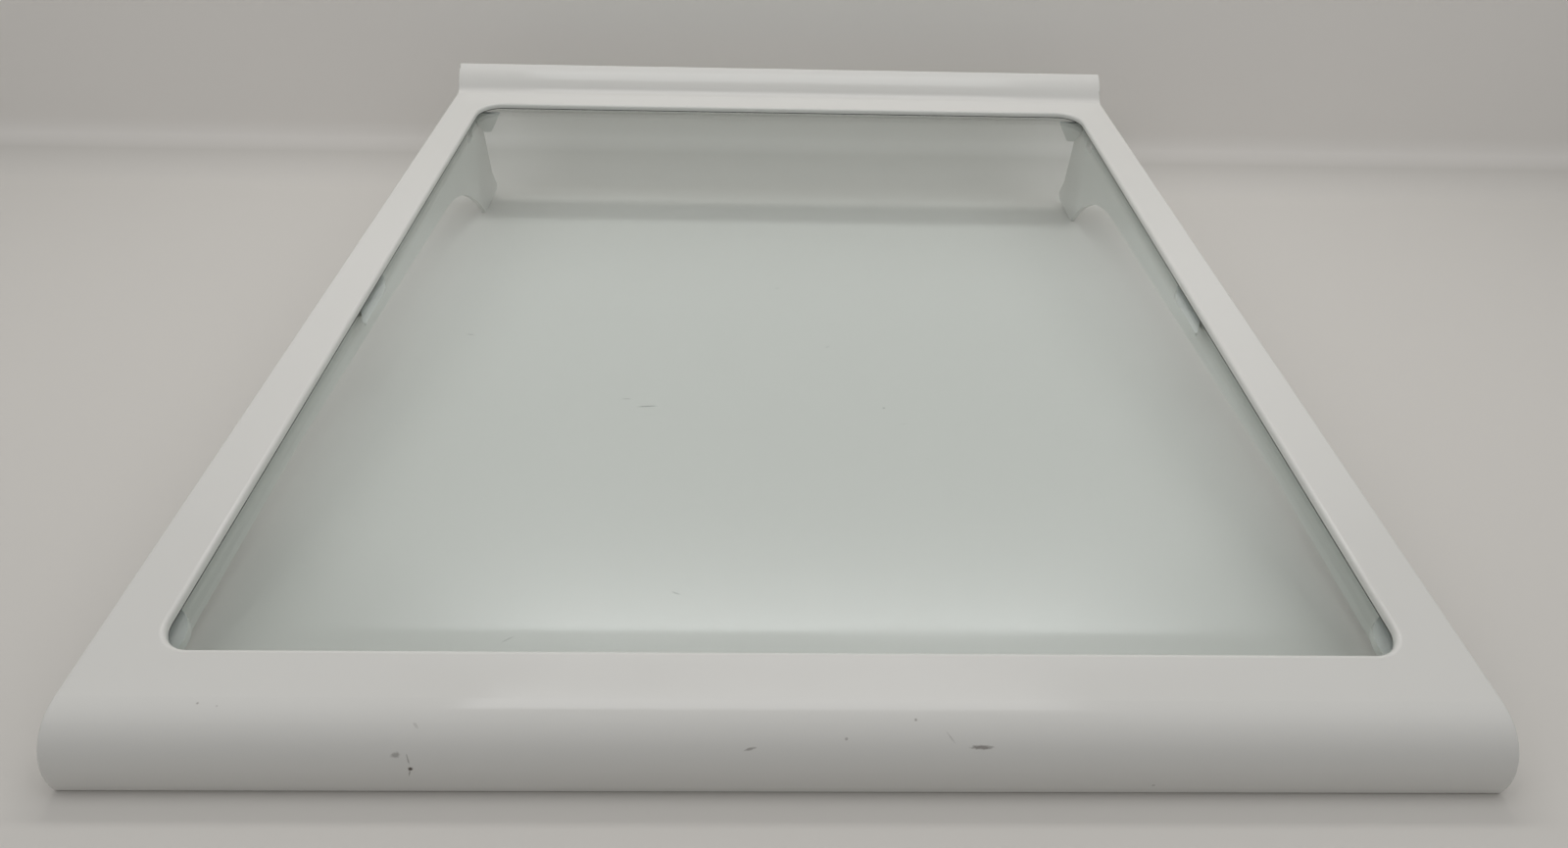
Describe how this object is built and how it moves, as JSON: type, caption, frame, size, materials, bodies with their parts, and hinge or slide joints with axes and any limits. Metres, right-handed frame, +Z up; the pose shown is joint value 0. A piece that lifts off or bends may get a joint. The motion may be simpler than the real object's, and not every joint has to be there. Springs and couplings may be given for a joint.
{
  "type": "fridge glass shelf",
  "caption": "Fridge shelf: a clear glass pane held in a one-piece white frame with a bullnose front, raised rear lip, side skirts and rear legs.",
  "frame": {"origin": "under the middle of the shelf, on the level of the feet of the rear legs", "axes": "+X to the right across the shelf, +Y from the bullnose front to the rear lip, +Z up, square to the pane"},
  "size_m": [0.4, 0.45, 0.0761],
  "materials": {
    "white_plastic": "glossy moulded",
    "tempered_glass": "clear float glass, faint green tint"
  },
  "bodies": {
    "root": {"frame": "white_plastic", "glass_pane": "tempered_glass"}
  },
  "joints": []
}
